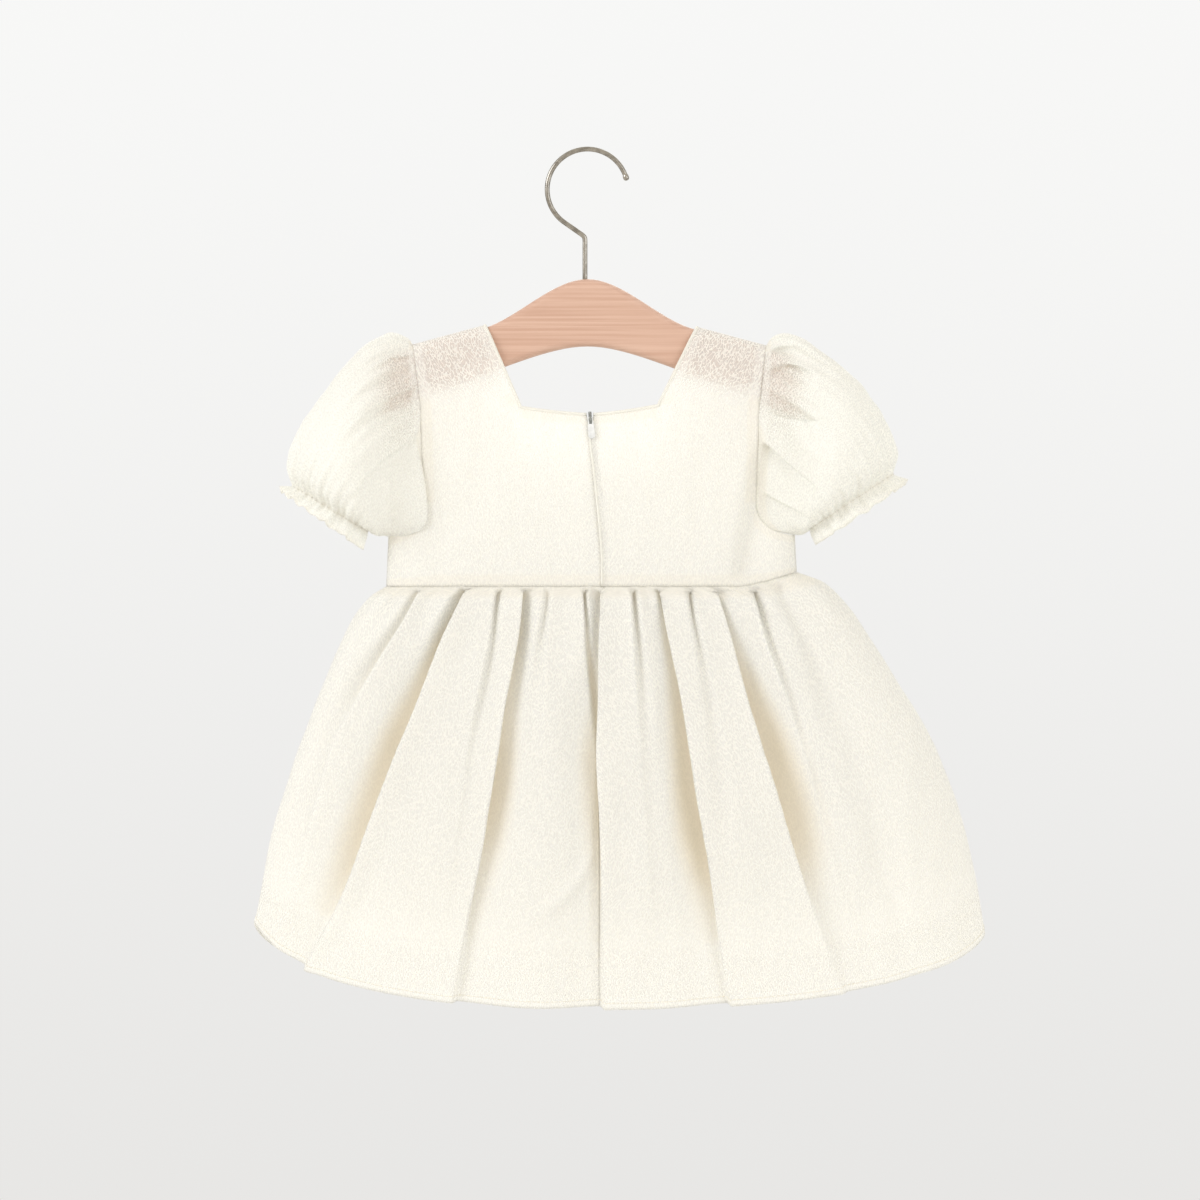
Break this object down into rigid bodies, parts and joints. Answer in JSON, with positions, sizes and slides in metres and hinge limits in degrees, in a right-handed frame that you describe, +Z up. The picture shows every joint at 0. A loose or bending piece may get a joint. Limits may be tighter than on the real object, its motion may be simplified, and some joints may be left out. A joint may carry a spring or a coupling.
{
  "type": "lace dress on a hanger",
  "caption": "Toddler's cream lace dress with a square neck, puff sleeves and a gathered skirt, hung from a wooden hanger by its wire hook.",
  "frame": {"origin": "top of the inside of the hanger's hook, where a rail carries it", "axes": "+Z up, +Y from the dress's zipped back to its front, +X to the right as seen from the back"},
  "size_m": [0.4818, 0.1168, 0.5663],
  "materials": {
    "wood": "pale wood, smooth satin lacquer",
    "hook_wire": "brushed steel wire",
    "lace": "cream embossed lace cloth with a soft sheen",
    "sheer_lace": "the same cloth unlined and slightly see-through",
    "lining": "plain thin cream lining",
    "zip_coil": "white nylon coil and tape",
    "zip_metal": "dark plated zip slider",
    "tab_coating": "white coated pull tab"
  },
  "bodies": {
    "dress": {"hanger_wood": "wood", "hanger_hook": "hook_wire", "bodice_back_left": "lace", "bodice_back_right": "lace", "bodice_front": "lace", "sleeve_left": "sheer_lace", "sleeve_right": "sheer_lace", "skirt_back_left": "lace", "skirt_back_right": "lace", "skirt_front": "lace", "lining_back_left": "lining", "lining_back_right": "lining", "lining_front": "lining", "zip_chain": "zip_coil", "zip_slider": "zip_metal"},
    "zip_pull": {"zip_pull_tab": "tab_coating"}
  },
  "joints": [
    {"name": "zip_pull_swing", "type": "hinge", "parent": "dress", "child": "zip_pull", "pos_m": [0.00182, -0.01581, -0.17591], "axis": [-0.9965, 0, -0.0836], "range_deg": [0, 170]}
  ]
}
